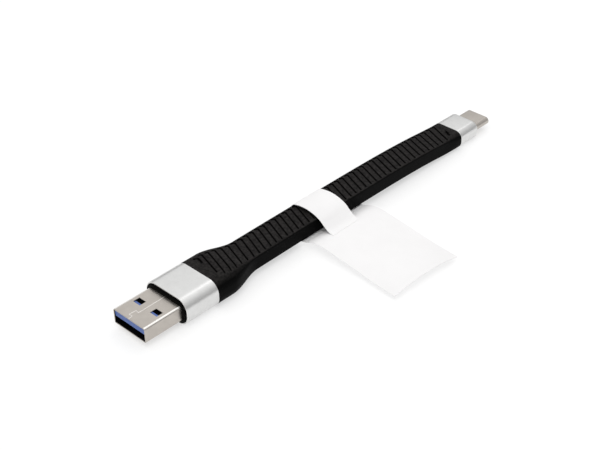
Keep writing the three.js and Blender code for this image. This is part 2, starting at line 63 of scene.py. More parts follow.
def add_camera():
    azimuth, elevation, roll = map(math.radians, (CAMERA_AZIMUTH, CAMERA_ELEVATION, CAMERA_ROLL))
    back = Vector((
        math.sin(azimuth) * math.cos(elevation),
        -math.cos(azimuth) * math.cos(elevation),
        math.sin(elevation),
    ))
    right = Vector((0, 0, 1)).cross(back).normalized()
    up = back.cross(right)
    across = right * math.cos(roll) + up * math.sin(roll)
    upward = up * math.cos(roll) - right * math.sin(roll)
    data = bpy.data.cameras.new("camera")
    data.lens, data.sensor_width = CAMERA_LENS, 36
    data.clip_start, data.clip_end = 0.01, 20
    camera = bpy.data.objects.new("camera", data)
    bpy.context.scene.collection.objects.link(camera)
    place = Vector(CAMERA_TARGET) + back * CAMERA_DISTANCE
    camera.matrix_world = Matrix((
        (across.x, upward.x, back.x, place.x),
        (across.y, upward.y, back.y, place.y),
        (across.z, upward.z, back.z, place.z),
        (0, 0, 0, 1),
    ))
    bpy.context.scene.camera = camera


add_camera()

# ---- dimensions, in millimetres unless a name says otherwise ----


def corners(node):
    low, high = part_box(node)
    return np.array(low) / MM, np.array(high) / MM


A_SLEEVE, A_SHELL, A_MOULD = corners("usb_a_sleeve"), corners("usb_a_shell"), corners("usb_a_inner_mould")
C_SLEEVE, C_SHELL = corners("usb_c_sleeve"), corners("usb_c_shell")
FLEX = corners("flex_circuit")

A_SLEEVE_RADIUS, A_SLEEVE_WALL, A_SLEEVE_CHAMFER, A_SLEEVE_REAR_EDGE = 3.3, 0.4, 0.08, 0.07
A_SHELL_RADIUS, A_SHELL_WALL, A_SHELL_ROUND, A_SHELL_INNER_EDGE = 0.65, 0.3, 0.13, 0.06
A_WINDOW_FROM_FRONT, A_WINDOW_LENGTH, A_WINDOW_WIDTH, A_WINDOW_Y = 5.16, 2, 2.5, 3.2
CUT_EDGE = 0.035  # bevel of the windows' edges
A_LIP_RADIUS, A_LIP_ROUND = 2.85, 0.25
C_SLEEVE_RADIUS, C_SLEEVE_WALL, C_SLEEVE_FRONT_WALL, C_SLEEVE_ROUND = 2.3, 0.6, 0.7, 0.9
C_SLEEVE_REAR_EDGE, C_SLEEVE_MOUTH_GAP, C_SLEEVE_MOUTH_EDGE = 0.06, 0.05, 0.04
C_SHELL_WALL, C_SHELL_ROUND, C_SHELL_INNER_EDGE = 0.25, 0.16, 0.02

STRAP_WIDTH, STRAP_HEIGHT, STRAP_RADIUS = 9.75, 4.3, 0.5
A_FLARE = (5.2, 11)  # length that is flush with the sleeve, and of the taper after it
C_FLARE = (0.6, 8)
END_EDGE, END_EDGE_INSET = 0.14, 0.08  # length and depth of the softened edge at the strap's ends
END_FREE = 0.2  # at the strap's ends, the length without the crossways lines of the grooves
TUNNEL_ROWS = 40
# width, height and corner radius of the hollows in the strap, of what fills them, and of the film
A_POCKET, TUNNEL, C_POCKET = (11.3, 4.7, 1.2), (8.4, 0.8, 0.2), (8.3, 1.4, 0.2)
A_MOULD_TAIL, A_BOARD_SPACE, A_SHELL_SPACE = (11, 4.4, 1.2), (10.2, 2.0, 0.1), (12.1, 4.6, 0.65)
FILM_SECTION = (8, 0.3, 0.12)

# the strap's centre line, in metres, as in the CAD
ROUTE_M = [
    (0.00535, 0, 0.00395), (0.012, 0, 0.00395), (0.019, 0, 0.004), (0.026, 0, 0.00407), (0.033, 0, 0.00413),
    (0.040, 0, 0.00417), (0.047, 0, 0.0042), (0.054, 0, 0.00423), (0.061, 0, 0.00425), (0.068, 0, 0.00424),
    (0.075, 0, 0.00418), (0.082, 0, 0.00405), (0.088, 0, 0.00384), (0.0935, 0, 0.00354), (0.0985, 0, 0.00318),
    (0.1025, 0, 0.00292), (0.105, 0, 0.00282), (0.1067, 0, 0.0028),
]

# grooves moulded into the strap's top: place at y = 0, slant dx/dy, and the y of the near end and of the hook
FIRST_GROOVES = [
    (9.45, 0.28, -3.7, 4.75), (11.37, 0.32, -5.2, 4.45), (13.5, 0.34, -5.55, 4.25), (15.63, 0.36, -5.3, 4.2),
    (17.93, 0.38, -4.8, 4.1), (20.25, 0.38, -4.35, 4.02),
]
GROOVE_COUNT, GROOVE_PITCH, GROOVE_NEXT = 45, 2.1, 22.6
GROOVE_SLANT, GROOVE_NEAR, GROOVE_FAR = 0.38, -4.1, 4.0
GROOVE_SAG, SAG_FROM, SAG_LENGTH = 0.45, 21, 80  # their pitch is a little less, then a little more
LAST_GROOVES_FAR = (3.9, 3.8, 3.65)  # the last three end where the top narrows
GROOVE_DEPTH, HOOK_DEPTH, GROOVE_FLOOR_HALF, GROOVE_WALL = 0.48, 0.65, 0.13, 0.12
HOOK_RADIUS, HOOK_TURN, HOOK_RUN, HOOK_EXTRA_HALF = 0.32, 95, 0.45, 0.06
# a short hooked groove beside the USB-A sleeve, given by its near end and slant, and a short
# straight one by the USB-C sleeve, given by both its ends
SHORT_GROOVE_A, SHORT_GROOVE_A_SLANT, SHORT_GROOVE_A_FAR = (8.5, 2.3), 0.27, 4.4
SHORT_GROOVE_A_EXTRA_HALF = 0.17
SHORT_GROOVE_C, SHORT_GROOVE_C_EXTRA_HALF = ((103.2, -2.8), (104.1, -1.1)), 0.2
SLANT_FADES = (4, 3.4)  # lengths over which the crossways lines turn square to the strap's ends


def groove_rows():
    """Each groove's place at y = 0, slant, near end and far end."""
    rows = list(FIRST_GROOVES)
    for k in range(GROOVE_COUNT - len(rows)):
        x = GROOVE_NEXT + k * GROOVE_PITCH
        x -= GROOVE_SAG * math.sin(math.pi * (x - SAG_FROM) / SAG_LENGTH)
        rows.append((x, GROOVE_SLANT, GROOVE_NEAR, GROOVE_FAR))
    for k, far in enumerate(LAST_GROOVES_FAR, GROOVE_COUNT - len(LAST_GROOVES_FAR)):
        rows[k] = (*rows[k][:3], far)
    return rows


GROOVES = groove_rows()


# ---- mesh helpers ----

def smooth(t):
    t = np.clip(t, 0, 1)
    return t * t * (3 - 2 * t)


def link(name, mesh):
    piece = bpy.data.objects.new(name, mesh)
    bpy.context.scene.collection.objects.link(piece)
    return piece


def build(name, points, faces, sharp=40):
    """A piece from points in millimetres, with its faces turned outwards."""
    mesh = bpy.data.meshes.new(name)
    mesh.from_pydata((np.asarray(points, float) * MM).tolist(), [], faces)
    mesh.validate()
    bm = bmesh.new()
    bm.from_mesh(mesh)
    bmesh.ops.recalc_face_normals(bm, faces=bm.faces)
    if bm.calc_volume(signed=True) < 0:
        bmesh.ops.reverse_faces(bm, faces=bm.faces)
    bm.to_mesh(mesh)
    bm.free()
    mesh.polygons.foreach_set("use_smooth", [True] * len(mesh.polygons))
    mesh.set_sharp_from_angle(angle=math.radians(sharp))
    return link(name, mesh)


def outline(width, height, radius, steps=10):
    """A rounded rectangle as rows of y, z, anticlockwise seen from +X."""
    rows = []
    for side, top, quarter in ((1, 1, 0), (-1, 1, 1), (-1, -1, 2), (1, -1, 3)):
        for step in range(steps + 1):
            angle = (quarter + step / steps) * math.pi / 2
            rows.append((
                side * (width / 2 - radius) + radius * math.cos(angle),
                top * (height / 2 - radius) + radius * math.sin(angle),
            ))
    return rows


def ring(x, z, shape):
    """An outline at x, centred on height z, as points."""
    return [(x, y, z + rise) for y, rise in shape]


def ring_faces(rows, columns, closed):
    """The faces of a tube whose points are rows of the same number of columns; closed joins its ends."""
    faces = []
    for i in range(rows if closed else rows - 1):
        here, there = i * columns, (i + 1) % rows * columns
        for j in range(columns):
            k = (j + 1) % columns
            faces.append((here + j, here + k, there + k, there + j))
    return faces


def loft(name, rings, closed=False, sharp=40):
    """A tube through rings of points. It is capped, or its last ring is joined to its first."""
    columns = len(rings[0])
    faces = ring_faces(len(rings), columns, closed)
    if not closed:
        faces += [tuple(range(columns)), tuple(range((len(rings) - 1) * columns, len(rings) * columns))]
    return build(name, [p for r in rings for p in r], faces, sharp)


def rounded_edge(x, inset, radius, steps, towards):
    """Places x and inset round a quarter-round edge, from the side wall to the end face."""
    places = []
    for step in range(steps + 1):
        angle = step / steps * math.pi / 2
        places.append((x - towards * radius * (1 - math.sin(angle)), inset + radius * (1 - math.cos(angle))))
    return places


# ---- the strap's centre line ----

def centre_line(samples=24):
    """Points along the route, by the CAD's centripetal Catmull-Rom curve, as rows of x and z."""
    knots = np.array([(x, z) for x, _, z in ROUTE_M]) / MM
    knots = np.vstack([2 * knots[0] - knots[1], knots, 2 * knots[-1] - knots[-2]])
    rows = []
    for p0, p1, p2, p3 in zip(knots, knots[1:], knots[2:], knots[3:]):
        d0, d1, d2 = (math.sqrt(np.linalg.norm(b - a)) for a, b in ((p0, p1), (p1, p2), (p2, p3)))
        start = ((p1 - p0) / d0 - (p2 - p0) / (d0 + d1) + (p2 - p1) / d1) * d1
        end = ((p2 - p1) / d1 - (p3 - p1) / (d1 + d2) + (p3 - p2) / d2) * d1
        for t in np.arange(samples) / samples:
            a, b = 2 * t**3 - 3 * t**2 + 1, t**3 - 2 * t**2 + t
            c, d = -2 * t**3 + 3 * t**2, t**3 - t**2
            rows.append(a * p1 + b * start + c * p2 + d * end)
    rows.append(knots[-2])
    return np.array(rows)


LINE = centre_line()
LINE_SLOPE = np.arctan2(np.gradient(LINE[:, 1]), np.gradient(LINE[:, 0]))
STRAP_START, STRAP_END = LINE[0, 0], LINE[-1, 0]


def centre_at(x):
    """Height and slope of the centre line at x. The strap's end faces stand square to the sleeves."""
    level = smooth(x - STRAP_START) * smooth(STRAP_END - x)
    return np.interp(x, LINE[:, 0], LINE[:, 1]), np.interp(x, LINE[:, 0], LINE_SLOPE) * level


def section_at(x):
    """Width, height and corner radius of the strap at x."""
    a = 1 - smooth((x - STRAP_START - A_FLARE[0]) / A_FLARE[1])
    c = 1 - smooth((STRAP_END - x - C_FLARE[0]) / C_FLARE[1])

    def mixed(plain, at_a, at_c):
        return plain + a * (at_a - plain) + c * (at_c - plain)

    a_size, c_size = A_SLEEVE[1] - A_SLEEVE[0], C_SLEEVE[1] - C_SLEEVE[0]
    return (
        mixed(STRAP_WIDTH, a_size[1], c_size[1]),
        mixed(STRAP_HEIGHT, a_size[2], c_size[2]),
        mixed(STRAP_RADIUS, A_SLEEVE_RADIUS, C_SLEEVE_RADIUS),
    )


# ---- strap ----

def groove_lines():
    """Each groove as its straight part and its hook: points in plan, extra half width and depth."""
    lines = []
    for middle, slant, near, far in GROOVES:
        lines += hooked((middle + near * slant, near), slant, far)
    for points, _, _ in hooked(SHORT_GROOVE_A, SHORT_GROOVE_A_SLANT, SHORT_GROOVE_A_FAR):
        lines.append((points, SHORT_GROOVE_A_EXTRA_HALF, HOOK_DEPTH))
    lines.append((np.array(SHORT_GROOVE_C), SHORT_GROOVE_C_EXTRA_HALF, HOOK_DEPTH))
    return lines


def hooked(start, slant, far):
    """A slanting line from start, and the hook that turns it back towards the USB-A end at y = far."""
    direction = np.array([slant, 1]) / math.hypot(slant, 1)
    left = np.array([-direction[1], direction[0]])
    points = []
    for angle in np.radians(np.linspace(0, HOOK_TURN, 7)):
        points.append(HOOK_RADIUS * (direction * math.sin(angle) + left * (1 - math.cos(angle))))
    turned = math.radians(HOOK_TURN)
    points.append(points[-1] + HOOK_RUN * (direction * math.cos(turned) + left * math.sin(turned)))
    hook = np.array(points)
    reach = (far - hook[:, 1].max() - start[1]) / direction[1]
    hook += np.array(start) + direction * reach
    return [(np.array([start, hook[0]]), 0, GROOVE_DEPTH), (hook, HOOK_EXTRA_HALF, HOOK_DEPTH)]


def groove_depth(x, y):
    """How deep the strap's top is pressed in at plan positions x and y."""
    depth = np.zeros_like(x)
    for line, extra, deep in groove_lines():
        near = (x > line[:, 0].min() - 1) & (x < line[:, 0].max() + 1)
        p = np.stack([x[near], y[near]], axis=-1)
        best = np.full(len(p), 9.0)
        for a, b in zip(line, line[1:]):
            t = np.clip((p - a) @ (b - a) / ((b - a) @ (b - a)), 0, 1)
            best = np.minimum(best, np.linalg.norm(p - a - t[:, None] * (b - a), axis=1))
        wall = (best - GROOVE_FLOOR_HALF - extra) / GROOVE_WALL
        depth[near] = np.maximum(depth[near], deep * (1 - np.clip(wall, 0, 1)))
    return depth


# shares of the top's half width at which the strap has a lengthways line; close together where a groove ends
TOP_COLUMNS = [-1, -0.985, -0.97, -0.955, -0.94, -0.92, -0.9, -0.87, -0.8, -0.6, -0.3, 0, 0.3, 0.55, 0.65]
TOP_COLUMNS += list(np.linspace(0.7, 1, 23))
# places along one groove pitch, from a groove's middle, at which the strap has a crossways line
GROOVE_STATIONS = [-1.0, -0.88, -0.76, -0.66, -0.56, -0.47, -0.4, -0.34, -0.29, -0.23, -0.165, -0.08]
GROOVE_STATIONS += [0, 0.08, 0.165, 0.23, 0.29, 0.4, 0.6, 0.85]
# crossways lines over the short grooves: from, to and step
SHORT_GROOVE_STATIONS = ((7.2, 8.8, 0.1), (103.3, 105.4, 0.1))


def strap_columns():
    """The places round the strap's section: part, share or angle, and which side it is on."""
    rows = [("top", f, 0) for f in TOP_COLUMNS]
    rows += [("upper", a, 1) for a in (*np.linspace(0, 50, 21)[1:], 60, 70, 80, 90)]
    rows += [("side", f, 1) for f in (0.33, -0.33)]
    rows += [("lower", a, 1) for a in np.linspace(90, 180, 6)]
    rows += [("bottom", f, 0) for f in (0.67, 0.33, 0, -0.33, -0.67)]
    rows += [("lower", a, -1) for a in np.linspace(180, 90, 6)]
    rows += [("side", f, -1) for f in (-0.33, 0.33)]
    rows += [("upper", a, -1) for a in np.linspace(90, 0, 13)[:-1]]
    return rows


def section_point(column, width, height, radius):
    """Place y, z and outward normal of one column of the strap's section."""
    part, value, side = column
    flat, wall = width / 2 - radius, height / 2 - radius
    one, none = np.ones_like(width), np.zeros_like(width)
    if part == "top":
        return value * flat, height / 2, none, one
    if part == "bottom":
        return value * flat, -height / 2, none, -one
    if part == "side":
        return side * width / 2, value * wall, side * one, none
    sine, cosine = math.sin(math.radians(value)), math.cos(math.radians(value))
    rise = wall if part == "upper" else -wall
    return side * (flat + radius * sine), rise + radius * cosine, side * sine * one, cosine * one


def strap_skin():
    """Rows of points along the strap and round it. The rows slant with the grooves."""
    middles, slants = np.array(GROOVES)[:, :2].T
    before = middles[0] - GROOVE_PITCH * np.arange(2, 0, -1)
    after = middles[-1] + GROOVE_PITCH * np.arange(1, 3)
    s = np.concatenate([
        (np.concatenate([before, middles, after])[:, None] + np.array(GROOVE_STATIONS)).ravel(),
        *(np.arange(*stations) for stations in SHORT_GROOVE_STATIONS),
    ])
    s = np.unique(s[(s > STRAP_START + END_FREE) & (s < STRAP_END - END_FREE)].round(2))
    ends = np.array([0, 0.03, 0.07, END_EDGE])
    s = np.concatenate([STRAP_START + ends, s, STRAP_END - ends[::-1]])
    slant = np.interp(s, middles, slants)
    from_a, from_c = s - STRAP_START, STRAP_END - s
    slant *= np.clip(from_a / SLANT_FADES[0], 0, 1) * np.clip(from_c / SLANT_FADES[1], 0, 1)
    edge = END_EDGE_INSET * (1 - np.clip(np.minimum(from_a, from_c) / END_EDGE, 0, 1))
    columns = []
    for column in strap_columns():
        y = section_point(column, *section_at(s))[0]
        x = s + y * slant
        y, rise, out_y, out_z = section_point(column, *section_at(x))
        inset = edge + (groove_depth(x, y) if column[0] in ("top", "upper") else 0)
        y, rise = y - inset * out_y, rise - inset * out_z
        height, slope = centre_at(x)
        columns.append(np.stack([x - rise * np.sin(slope), y, height + rise * np.cos(slope)], axis=-1))
    return np.stack(columns, axis=1)


def strap_hollow(columns):
    """The tunnel for the flexible circuit, and the pockets for the moulds and boards at its ends."""
    a_tail, c_rear, step = A_MOULD[1][0] + 0.3, FLEX[1][0], 0.01
    stations = [(STRAP_START, *A_POCKET), (a_tail, *A_POCKET), (a_tail + step, *TUNNEL)]
    stations += [(x, *TUNNEL) for x in np.linspace(a_tail + 2, c_rear - 2, TUNNEL_ROWS)]
    stations += [(c_rear - step, *TUNNEL), (c_rear, *C_POCKET), (STRAP_END, *C_POCKET)]
    rows = []
    for x, *section in stations:
        height, slope = centre_at(np.array(x))
        row = []
        for column in columns:
            y, rise, _, _ = section_point(column, *(np.array(float(v)) for v in section))
            row.append((x - rise * math.sin(slope), float(y), height + rise * math.cos(slope)))
        rows.append(row)
    return np.array(rows)


def make_strap():
    outer, columns = strap_skin(), strap_columns()
    inner = strap_hollow(columns)[::-1]
    rows = np.concatenate([outer, inner])
    faces = ring_faces(len(rows), len(columns), True)
    return build("strap_ribbed", rows.reshape(-1, 3), faces, 75)


# ---- materials ----

def linear(r, g, b):
    """A colour given as it shows on a screen, from 0 to 255."""
    parts = (v / 255 / 12.92 if v <= 10 else ((v / 255 + 0.055) / 1.055) ** 2.4 for v in (r, g, b))
    return (*parts, 1)


class Surface:
    """A node material on the Principled shader, with short names for the nodes that it needs."""

    def __init__(self, name, metallic=0.0, specular=0.5):
        self.material = bpy.data.materials.new(name)
        self.material.use_nodes = True
        self.tree = self.material.node_tree
        self.shader = self.tree.nodes["Principled BSDF"]
        self.shader.inputs["Metallic"].default_value = metallic
        self.shader.inputs["Specular IOR Level"].default_value = specular
        self.place = self.node("ShaderNodeTexCoord").outputs["Object"]

    def node(self, kind, **settings):
        node = self.tree.nodes.new(kind)
        for key, value in settings.items():
            setattr(node, key, value)
        return node

    def join(self, source, target):
        self.tree.links.new(source, target)

    def stretched(self, scale):
        """Object coordinates in metres times scale along each axis."""
        mapping = self.node("ShaderNodeMapping")
        mapping.inputs["Scale"].default_value = scale
        self.join(self.place, mapping.inputs["Vector"])
        return mapping.outputs["Vector"]

    def noise(self, scale, detail, stretch=(1, 1, 1)):
        texture = self.node("ShaderNodeTexNoise")
        self.join(self.stretched(stretch), texture.inputs["Vector"])
        texture.inputs["Scale"].default_value = scale
        texture.inputs["Detail"].default_value = detail
        texture.inputs["Roughness"].default_value = 0.55
        return texture.outputs["Fac"]

    def ramp(self, source, low, high, low_at=0.3, high_at=0.7):
        """Maps a 0 to 1 value onto low to high, which are numbers or colours."""
        ramp = self.node("ShaderNodeValToRGB")
        ramp.color_ramp.elements[0].position = low_at
        ramp.color_ramp.elements[1].position = high_at
        for element, value in zip(ramp.color_ramp.elements, (low, high)):
            element.color = value if isinstance(value, tuple) else (value, value, value, 1)
        self.join(source, ramp.inputs["Fac"])
        return ramp.outputs["Color"]

    def mix(self, factor, a, b):
        node = self.node("ShaderNodeMix", data_type="RGBA")
        self.join(factor, node.inputs["Factor"])
        for name, value in (("A", a), ("B", b)):
            socket = [i for i in node.inputs if i.name == name and i.type == "RGBA"][0]
            if isinstance(value, tuple):
                socket.default_value = value
            else:
                self.join(value, socket)
        return [o for o in node.outputs if o.type == "RGBA"][0]

    def colour(self, source):
        self.join(source, self.shader.inputs["Base Color"])

    def rough(self, source):
        self.join(source, self.shader.inputs["Roughness"])

    def bump(self, height, depth_mm, strength=1.0):
        """Bump of the given depth for a height that runs from 0 to 1."""
        node = self.node("ShaderNodeBump")
        node.inputs["Strength"].default_value = strength
        node.inputs["Distance"].default_value = depth_mm * MM
        self.join(height, node.inputs["Height"])
        self.join(node.outputs["Normal"], self.shader.inputs["Normal"])


def rubber():
    """Soft black moulding with matt grain. Its base colour holds painted shade: faces that turn sideways or
    down are painted far darker than the top.
    """
    s = Surface("soft_black_moulding", specular=0.035)
    grain = s.noise(5500, 2)
    cloud = s.noise(1500, 4)
    normal = s.node("ShaderNodeNewGeometry").outputs["Normal"]
    split = s.node("ShaderNodeSeparateXYZ")
    s.join(normal, split.inputs["Vector"])
    # painted shade: the base colour falls from the top's mottled grey to near black as the surface turns away
    # from straight up
    shade_by_facing = s.ramp(split.outputs["Z"], 0.0, 1.0, 0.55, 0.95)
    top = s.ramp(cloud, linear(17, 16, 16), linear(46, 44, 43))
    s.colour(s.mix(shade_by_facing, linear(4, 4, 4), top))
    s.rough(s.ramp(grain, 0.45, 0.65))
    s.bump(grain, 0.03, 0.7)
    return s.material


def satin_aluminium():
    s = Surface("satin_aluminium", metallic=1)
    grain = s.noise(16000, 2)
    cloud = s.noise(500, 3)
    s.colour(s.ramp(cloud, linear(214, 214, 213), linear(220, 220, 219)))
    s.rough(s.ramp(grain, 0.27, 0.36))
    s.bump(grain, 0.004, 0.5)
    return s.material


def bright_cut_and_highlight():
    # bright metal: the real bright-cut finish of the USB-A sleeve's front chamfer, and a painted highlight on
    # the USB-A shell's rounded long edges and seam
    s = Surface("bright_cut_and_painted_highlight", metallic=1)
    lines = s.noise(700, 2, stretch=(20, 1, 1))
    s.colour(s.ramp(lines, linear(236, 233, 229), linear(246, 244, 240)))
    s.rough(s.ramp(lines, 0.32, 0.42))
    return s.material


def nickel_steel(name, low, high, rough_low, rough_high):
    """Nickel-plated steel, drawn lengthways."""
    s = Surface(name, metallic=1)
    lines = s.noise(3000, 3, stretch=(0.05, 1, 1))
    cloud = s.noise(350, 4)
    s.colour(s.ramp(cloud, linear(*low), linear(*high)))
    s.rough(s.ramp(lines, rough_low, rough_high))
    s.bump(lines, 0.001, 0.3)
    return s.material


def gold():
    s = Surface("gold_plate", metallic=1)
    cloud = s.noise(2500, 3)
    s.colour(s.ramp(cloud, linear(226, 184, 92), linear(240, 202, 116)))
    s.rough(s.ramp(cloud, 0.18, 0.3))
    return s.material


def plastic(name, low, high, rough_low=0.38, rough_high=0.5, specular=0.4):
    s = Surface(name, specular=specular)
    cloud = s.noise(1200, 3)
    grain = s.noise(12000, 2)
    s.colour(s.ramp(cloud, linear(*low), linear(*high)))
    s.rough(s.ramp(grain, rough_low, rough_high))
    s.bump(grain, 0.006, 0.4)
    return s.material


def board_mask():
    """Green solder mask over copper tracks that run lengthways."""
    s = Surface("board_green", specular=0.5)
    tracks = s.node("ShaderNodeTexWave", wave_type="BANDS", bands_direction="Y")
    s.join(s.place, tracks.inputs["Vector"])
    tracks.inputs["Scale"].default_value = 320
    tracks.inputs["Distortion"].default_value = 0.6
    stripes = s.ramp(tracks.outputs["Color"], linear(18, 78, 46), linear(38, 116, 70), 0.45, 0.55)
    s.colour(stripes)
    s.rough(s.ramp(s.noise(6000, 2), 0.3, 0.45))
    s.bump(tracks.outputs["Fac"], 0.02, 0.4)
    return s.material


def flex_film():
    """Amber film with copper conductors that run lengthways."""
    s = Surface("flex_film", specular=0.5)
    tracks = s.node("ShaderNodeTexWave", wave_type="BANDS", bands_direction="Y")
    s.join(s.place, tracks.inputs["Vector"])
    tracks.inputs["Scale"].default_value = 260
    s.colour(s.ramp(tracks.outputs["Color"], linear(150, 84, 26), linear(204, 128, 60), 0.45, 0.55))
    s.rough(s.ramp(s.noise(3000, 2), 0.28, 0.42))
    return s.material


def paper():
    """White coated paper, with faint fibres."""
    s = Surface("label_paper", specular=0.3)
    fibres = s.noise(2600, 4, stretch=(1, 0.35, 1))
    cloud = s.noise(120, 3)
    s.colour(s.ramp(cloud, linear(238, 237, 237), linear(241, 240, 240)))
    s.rough(s.ramp(fibres, 0.55, 0.72))
    s.bump(fibres, 0.01, 0.25)
    return s.material


def floor_material():
    """A pale table, lit from below a little, so that shadows stay faint."""
    s = Surface("floor_white", specular=0.1)
    s.colour(s.ramp(s.noise(6, 2), linear(181, 181, 181), linear(185, 185, 185)))
    s.rough(s.ramp(s.noise(40, 2), 0.85, 0.95))
    s.shader.inputs["Emission Color"].default_value = (1, 1, 1, 1)
    s.shader.inputs["Emission Strength"].default_value = 0.53
    return s.material


def coat_with(piece, *materials):
    piece.data.materials.clear()
    for material in materials:
        piece.data.materials.append(material)


RUBBER, SATIN, BRIGHT_CUT_AND_HIGHLIGHT = rubber(), satin_aluminium(), bright_cut_and_highlight()
NICKEL = nickel_steel("nickel_steel", (184, 178, 171), (192, 186, 179), 0.33, 0.39)
# painted shade: a dark copy of the nickel for the USB-A shell's inner faces, so that its mouth stays dark
SHADED_STEEL_INSIDE = nickel_steel("painted_shade_steel_inside", (28, 27, 26), (38, 36, 35), 0.45, 0.55)
GOLD, FILM, PAPER = gold(), flex_film(), paper()
BLUE = plastic("tongue_blue", (72, 96, 158), (86, 112, 174), specular=0.3)
BLACK = plastic("mould_black", (4, 4, 4), (9, 8, 7), 0.35, 0.45, specular=0.02)
MASK = board_mask()
CERAMIC = plastic("chip_ceramic", (118, 88, 62), (140, 106, 78), 0.4, 0.6)

# ---- cord first: the strap ----

strap = make_strap()
coat_with(strap, RUBBER)
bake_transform(strap)
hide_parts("strap")


# ---- flexible circuit ----

FLEX_ROWS = 60


def make_flex():
    rings = []
    for x in np.linspace(FLEX[0][0], FLEX[1][0], FLEX_ROWS):
        height, slope = centre_at(np.array(x))
        ring_points = []
        for y, rise in outline(*FILM_SECTION, 2):
            ring_points.append((x - rise * math.sin(slope), y, height + rise * math.cos(slope)))
        rings.append(ring_points)
    return loft("flex_strip", rings)


flex = make_flex()
coat_with(flex, FILM)
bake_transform(flex)
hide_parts("flex_circuit")


# ---- label ----

LABEL_THICKNESS = 0.13
PANEL_X, PANEL_WIDTH, BAND_X, BAND_WIDTH = 50.4, 24, 49.4, 10.4
PANEL_PATH = [
    (-38.2, 0.2), (-30, 1.0), (-22, 2.2), (-15, 3.1), (-11.5, 3.42), (-9, 3.25), (-7, 2.58), (-5.2, 1.84),
    (-3, 1.62), (2, 1.64), (4.75, 1.8),
]
BAND_PATH = [
    (4.75, 1.8), (5.02, 2.5), (5.06, 4), (5.02, 5.7), (4.55, 6.55), (3.1, 7.2), (0, 7.6), (-2.9, 7.25),
    (-5.4, 6.35), (-7, 5.1), (-8.6, 3.95), (-9.6, 3.62), (-10.6, 3.56),
]
FLAG_FROM_Y, FLAG_LENGTH = -8, 30  # where the flag's curl starts, and how far it runs
PANEL_ARCH = 1.45  # how far the middle of the outer edge stands above its corners
PANEL_LIFT = 1.5  # how far the curl lifts the outer edge
# how far the outer edge leans to the USB-A side, and its corner on the USB-C side outwards
PANEL_SHIFT, PANEL_SKEW = 1.3, 1.3
PANEL_ROWS, BAND_ROWS = 90, 60
LABEL_COLUMNS = (10, 14, 13)  # before, under and past the band


def spline(points, count):
    """That many places along a smooth curve through points, evenly spaced, as rows of y and z."""
    knots = np.array(points, float)
    knots = np.vstack([2 * knots[0] - knots[1], knots, 2 * knots[-1] - knots[-2]])
    rows = []
    for p0, p1, p2, p3 in zip(knots, knots[1:], knots[2:], knots[3:]):
        for t in np.arange(20)[:, None] / 20:
            rows.append(0.5 * (
                2 * p1 + (p2 - p0) * t + (2 * p0 - 5 * p1 + 4 * p2 - p3) * t**2
                + (3 * p1 - p0 - 3 * p2 + p3) * t**3
            ))
    rows = np.array(rows + [knots[-2]])
    far = np.concatenate([[0], np.cumsum(np.linalg.norm(np.diff(rows, axis=0), axis=1))])
    even = np.linspace(0, far[-1], count)
    return np.stack([np.interp(even, far, rows[:, 0]), np.interp(even, far, rows[:, 1])], axis=1)


def make_label():
    """One T-shaped sheet: a wide panel that passes under the strap, and a band back over the top."""
    panel, band = spline(PANEL_PATH, PANEL_ROWS), spline(BAND_PATH, BAND_ROWS)
    band_low, band_high = BAND_X - BAND_WIDTH / 2, BAND_X + BAND_WIDTH / 2
    panel_low, panel_high = PANEL_X - PANEL_WIDTH / 2, PANEL_X + PANEL_WIDTH / 2
    xs = np.concatenate([
        np.linspace(panel_low, band_low, LABEL_COLUMNS[0])[:-1],
        np.linspace(band_low, band_high, LABEL_COLUMNS[1]),
        np.linspace(band_high, panel_high, LABEL_COLUMNS[2])[1:],
    ])
    inside = [i for i, x in enumerate(xs) if band_low - 1e-6 <= x <= band_high + 1e-6]
    points, faces = [], []
    for y, z in panel:
        out = np.clip((FLAG_FROM_Y - y) / FLAG_LENGTH, 0, 1)
        for x in xs:
            u = 2 * (x - panel_low) / PANEL_WIDTH - 1
            rise = PANEL_ARCH * out**1.4 * (1 - u * u) + PANEL_LIFT * out**2
            lean, skew = PANEL_SHIFT * out**2, PANEL_SKEW * out**2 * (1 + u) / 2
            points.append((x - lean, y - skew, z + rise))
    columns = len(xs)
    for i in range(len(panel) - 1):
        for j in range(columns - 1):
            a = i * columns + j
            faces.append((a, a + 1, a + columns + 1, a + columns))
    previous = [(len(panel) - 1) * columns + j for j in inside]
    for y, z in band[1:]:
        first = len(points)
        points += [(xs[j], y, z) for j in inside]
        row = list(range(first, len(points)))
        for j in range(len(row) - 1):
            faces.append((previous[j], previous[j + 1], row[j + 1], row[j]))
        previous = row
    sheet = build("label_sheet", points, faces, 180)
    solid = sheet.modifiers.new("thickness", "SOLIDIFY")
    solid.thickness, solid.offset, solid.use_even_offset = LABEL_THICKNESS * MM, 0, True
    return applied(sheet, 60)


def weigh_normals(piece):
    """Keeps a flat face's shading flat beside a rounded edge."""
    weigh = piece.modifiers.new("normals", "WEIGHTED_NORMAL")
    weigh.weight, weigh.keep_sharp = 100, True


def applied(piece, sharp):
    """The piece with its modifiers made part of its mesh."""
    graph = bpy.context.evaluated_depsgraph_get()
    mesh = bpy.data.meshes.new_from_object(piece.evaluated_get(graph))
    piece.modifiers.clear()
    piece.data = mesh
    mesh.polygons.foreach_set("use_smooth", [True] * len(mesh.polygons))
    mesh.set_sharp_from_angle(angle=math.radians(sharp))
    return piece


label = make_label()
coat_with(label, PAPER)
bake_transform(label)
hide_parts("paper_label")


# ---- USB-A plug ----

def size_of(box):
    low, high = box
    return high[1] - low[1], high[2] - low[2], (low[2] + high[2]) / 2


def tube_ring(x, box, radius, inset, steps=10):
    """A ring round a box's section at x, drawn in by inset."""
    width, height, z = size_of(box)
    return ring(x, z, outline(width - 2 * inset, height - 2 * inset, max(radius - inset, 0.02), steps))


